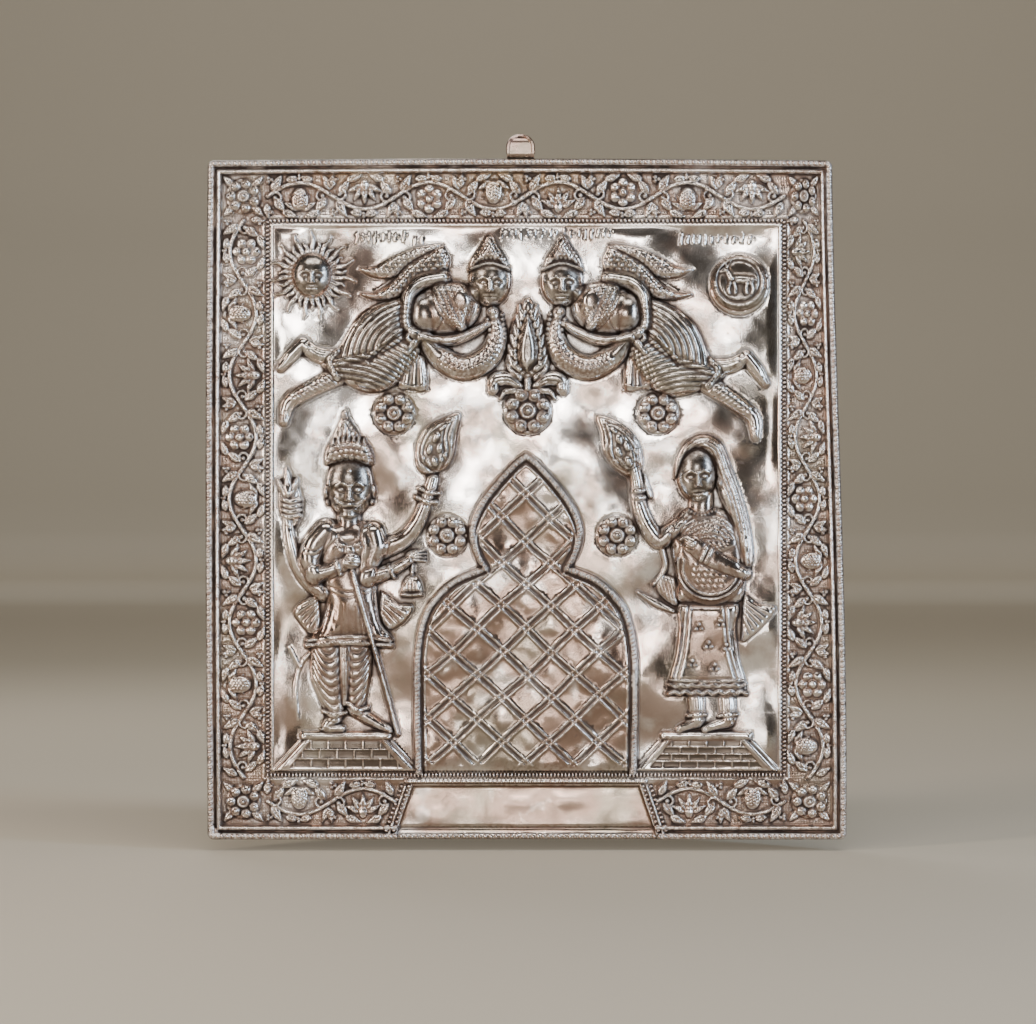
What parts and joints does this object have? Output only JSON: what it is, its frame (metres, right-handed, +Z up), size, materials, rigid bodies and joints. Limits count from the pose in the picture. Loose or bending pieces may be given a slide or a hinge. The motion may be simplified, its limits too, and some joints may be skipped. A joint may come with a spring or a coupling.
{
  "type": "wall panel",
  "caption": "Square chased silver wall panel with a floral border, winged and standing figures, a latticed niche and a hanging loop.",
  "frame": {"origin": "centre of the flat back of the hanging loop, which lies against the wall", "axes": "+Z up, +Y towards the wall, so the chased face looks along -Y; +X to the viewer's right"},
  "size_m": [0.3042, 0.0149, 0.3345],
  "materials": {
    "aged_silver": "beaten silver, polished on the high parts with dark brown tarnish in the recesses",
    "tarnished_silver": "worn silver with brown tarnish"
  },
  "bodies": {
    "root": {"chased_panel": "aged_silver", "hanging_loop": "tarnished_silver"}
  },
  "joints": []
}
